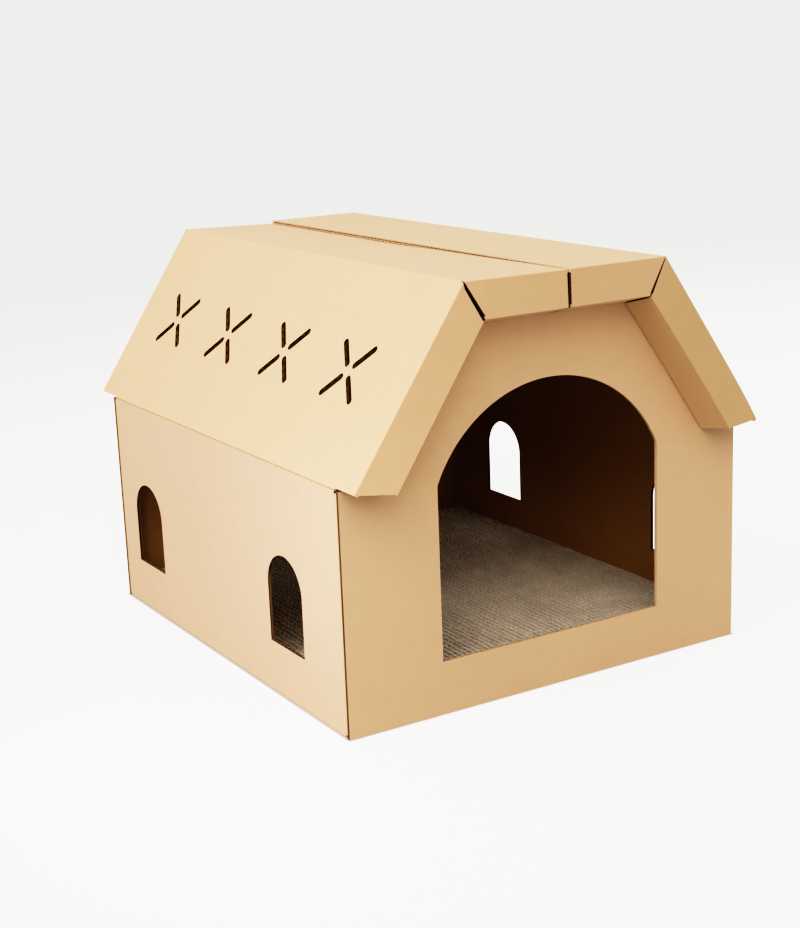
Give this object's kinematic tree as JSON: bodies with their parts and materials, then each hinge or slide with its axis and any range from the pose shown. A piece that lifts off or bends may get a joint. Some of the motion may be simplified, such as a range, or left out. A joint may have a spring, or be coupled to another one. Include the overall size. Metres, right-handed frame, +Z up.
{
  "type": "cardboard cat house",
  "caption": "House for a cat, folded from corrugated board: arched doorway, round-headed windows, gambrel roof with a hollow folded rim, and a scratch pad on the floor.",
  "frame": {"origin": "on the ground, under the middle of the house", "axes": "+Y from the doorway to the back, +X to the right as seen from the front, +Z up"},
  "size_m": [0.4, 0.51, 0.3575],
  "materials": {
    "board": "matt kraft liner",
    "scratch_board": "raw cut flutes, grey brown"
  },
  "bodies": {
    "house": {"front_wall": "board", "back_wall": "board", "left_wall": "board", "right_wall": "board", "left_floor": "board", "right_floor": "board", "left_front_end_flap": "board", "left_back_end_flap": "board", "right_front_end_flap": "board", "right_back_end_flap": "board"},
    "left_slope": {"left_slope_panel": "board"},
    "left_top": {"left_top_panel": "board"},
    "left_front_slope_fascia": {"left_front_slope_fascia": "board"},
    "left_front_slope_soffit": {"left_front_slope_soffit": "board"},
    "left_front_top_fascia": {"left_front_top_fascia": "board"},
    "left_front_top_soffit": {"left_front_top_soffit": "board"},
    "left_back_slope_fascia": {"left_back_slope_fascia": "board"},
    "left_back_slope_soffit": {"left_back_slope_soffit": "board"},
    "left_back_top_fascia": {"left_back_top_fascia": "board"},
    "left_back_top_soffit": {"left_back_top_soffit": "board"},
    "right_slope": {"right_slope_panel": "board"},
    "right_top": {"right_top_panel": "board"},
    "right_front_slope_fascia": {"right_front_slope_fascia": "board"},
    "right_front_slope_soffit": {"right_front_slope_soffit": "board"},
    "right_front_top_fascia": {"right_front_top_fascia": "board"},
    "right_front_top_soffit": {"right_front_top_soffit": "board"},
    "right_back_slope_fascia": {"right_back_slope_fascia": "board"},
    "right_back_slope_soffit": {"right_back_slope_soffit": "board"},
    "right_back_top_fascia": {"right_back_top_fascia": "board"},
    "right_back_top_soffit": {"right_back_top_soffit": "board"},
    "pad": {"scratch_pad": "scratch_board"}
  },
  "joints": [
    {"name": "left_eave", "type": "hinge", "parent": "house", "child": "left_slope", "pos_m": [-0.2, 0, 0.205], "axis": [0, -1, 0], "range_deg": [0, 120]},
    {"name": "left_shoulder", "type": "hinge", "parent": "left_slope", "child": "left_top", "pos_m": [-0.0975, 0, 0.3575], "axis": [0, -1, 0], "range_deg": [0, 56.09]},
    {"name": "left_front_slope_fascia_fold", "type": "hinge", "parent": "left_slope", "child": "left_front_slope_fascia", "pos_m": [-0.0975, -0.255, 0.3575], "axis": [-0.5578, 0, -0.83], "range_deg": [0, 90]},
    {"name": "left_front_slope_soffit_fold", "type": "hinge", "parent": "left_front_slope_fascia", "child": "left_front_slope_soffit", "pos_m": [-0.07177, -0.255, 0.34021], "axis": [-0.5578, 0, -0.83], "range_deg": [0, 75]},
    {"name": "left_front_top_fascia_fold", "type": "hinge", "parent": "left_top", "child": "left_front_top_fascia", "pos_m": [-0.05, -0.255, 0.3575], "axis": [-1, 0, 0], "range_deg": [0, 90]},
    {"name": "left_front_top_soffit_fold", "type": "hinge", "parent": "left_front_top_fascia", "child": "left_front_top_soffit", "pos_m": [-0.05, -0.255, 0.3265], "axis": [-1, 0, 0], "range_deg": [0, 75]},
    {"name": "left_back_slope_fascia_fold", "type": "hinge", "parent": "left_slope", "child": "left_back_slope_fascia", "pos_m": [-0.0975, 0.255, 0.3575], "axis": [0.5578, 0, 0.83], "range_deg": [0, 90]},
    {"name": "left_back_slope_soffit_fold", "type": "hinge", "parent": "left_back_slope_fascia", "child": "left_back_slope_soffit", "pos_m": [-0.07177, 0.255, 0.34021], "axis": [0.5578, 0, 0.83], "range_deg": [0, 75]},
    {"name": "left_back_top_fascia_fold", "type": "hinge", "parent": "left_top", "child": "left_back_top_fascia", "pos_m": [-0.05, 0.255, 0.3575], "axis": [1, 0, 0], "range_deg": [0, 90]},
    {"name": "left_back_top_soffit_fold", "type": "hinge", "parent": "left_back_top_fascia", "child": "left_back_top_soffit", "pos_m": [-0.05, 0.255, 0.3265], "axis": [1, 0, 0], "range_deg": [0, 75]},
    {"name": "right_eave", "type": "hinge", "parent": "house", "child": "right_slope", "pos_m": [0.2, 0, 0.205], "axis": [0, 1, 0], "range_deg": [0, 120]},
    {"name": "right_shoulder", "type": "hinge", "parent": "right_slope", "child": "right_top", "pos_m": [0.0975, 0, 0.3575], "axis": [0, 1, 0], "range_deg": [0, 56.09]},
    {"name": "right_front_slope_fascia_fold", "type": "hinge", "parent": "right_slope", "child": "right_front_slope_fascia", "pos_m": [0.0975, -0.255, 0.3575], "axis": [-0.5578, 0, 0.83], "range_deg": [0, 90]},
    {"name": "right_front_slope_soffit_fold", "type": "hinge", "parent": "right_front_slope_fascia", "child": "right_front_slope_soffit", "pos_m": [0.07177, -0.255, 0.34021], "axis": [-0.5578, 0, 0.83], "range_deg": [0, 75]},
    {"name": "right_front_top_fascia_fold", "type": "hinge", "parent": "right_top", "child": "right_front_top_fascia", "pos_m": [0.05, -0.255, 0.3575], "axis": [-1, 0, 0], "range_deg": [0, 90]},
    {"name": "right_front_top_soffit_fold", "type": "hinge", "parent": "right_front_top_fascia", "child": "right_front_top_soffit", "pos_m": [0.05, -0.255, 0.3265], "axis": [-1, 0, 0], "range_deg": [0, 75]},
    {"name": "right_back_slope_fascia_fold", "type": "hinge", "parent": "right_slope", "child": "right_back_slope_fascia", "pos_m": [0.0975, 0.255, 0.3575], "axis": [0.5578, 0, -0.83], "range_deg": [0, 90]},
    {"name": "right_back_slope_soffit_fold", "type": "hinge", "parent": "right_back_slope_fascia", "child": "right_back_slope_soffit", "pos_m": [0.07177, 0.255, 0.34021], "axis": [0.5578, 0, -0.83], "range_deg": [0, 75]},
    {"name": "right_back_top_fascia_fold", "type": "hinge", "parent": "right_top", "child": "right_back_top_fascia", "pos_m": [0.05, 0.255, 0.3575], "axis": [1, 0, 0], "range_deg": [0, 90]},
    {"name": "right_back_top_soffit_fold", "type": "hinge", "parent": "right_back_top_fascia", "child": "right_back_top_soffit", "pos_m": [0.05, 0.255, 0.3265], "axis": [1, 0, 0], "range_deg": [0, 75]},
    {"name": "pad_lift", "type": "slide", "parent": "house", "child": "pad", "axis": [0, 0, 1], "range_m": [0, 0.175]}
  ],
  "couplings": [
    {"joint": "left_shoulder", "follows": "left_eave", "ratio": 0.467},
    {"joint": "right_shoulder", "follows": "right_eave", "ratio": 0.467}
  ]
}
